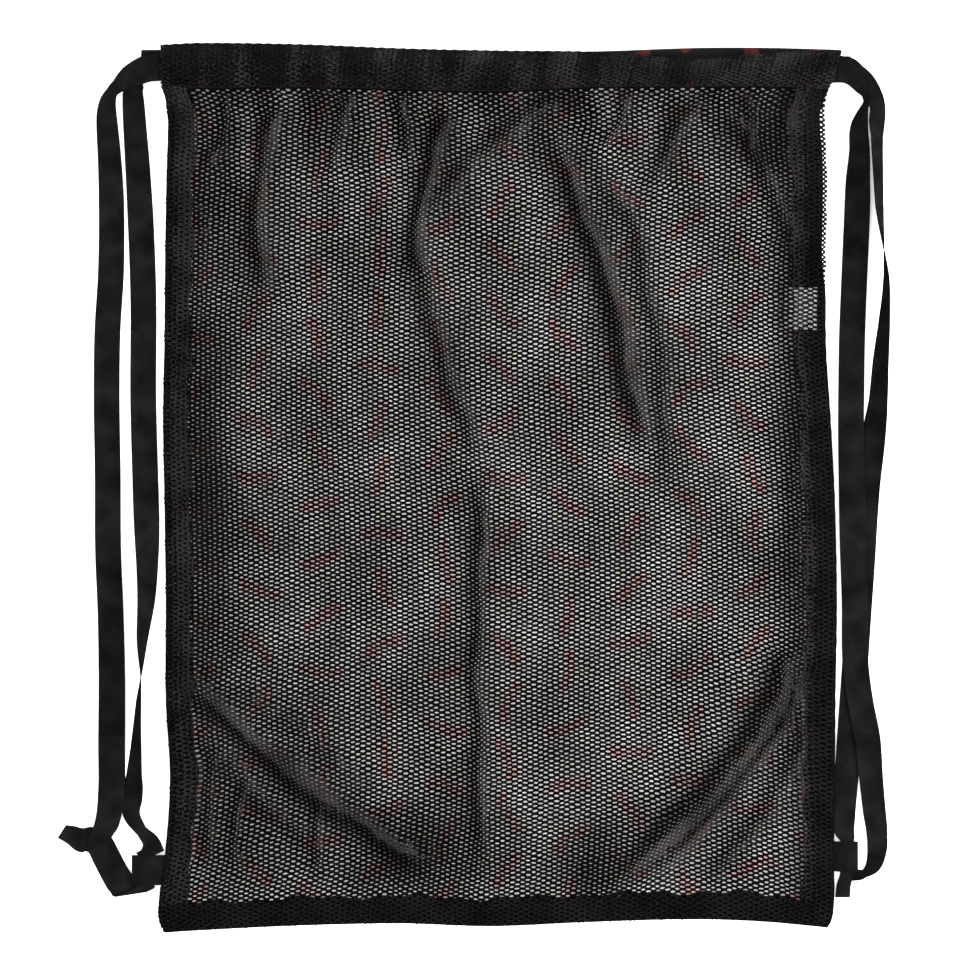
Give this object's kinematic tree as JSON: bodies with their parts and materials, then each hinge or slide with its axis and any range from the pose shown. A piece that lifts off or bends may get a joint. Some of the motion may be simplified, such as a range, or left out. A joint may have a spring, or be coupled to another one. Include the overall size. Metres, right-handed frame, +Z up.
{
  "type": "mesh swim bag",
  "caption": "Flat drawstring bag with an open net front, a printed cloth back, a folded casing round the mouth and tape drawcords tied to side tabs",
  "frame": {"origin": "on the underside of the back panel, in the middle of the picture of the bag", "axes": "+X to the right of the bag, +Y towards its mouth, +Z up out of the surface that it lies on"},
  "size_m": [0.606, 0.6488, 0.0202],
  "materials": {
    "net": "black warp-knit polyester net with hexagonal holes",
    "printed_cloth": "black woven polyester with a small repeating print outside, pale inside",
    "tape": "black woven polyester tape with a slight sheen",
    "label": "white satin label"
  },
  "bodies": {
    "root": {"front_panel": "net", "back_panel": "printed_cloth", "seam_left": "net", "seam_right": "net", "seam_bottom": "net", "tab_left": "tape", "tab_right": "tape", "care_label": "label", "drawcord_left_front": "tape", "drawcord_left_back": "tape", "drawcord_left_run": "tape", "drawcord_right_front": "tape", "drawcord_right_back": "tape", "drawcord_right_run": "tape"}
  },
  "joints": []
}
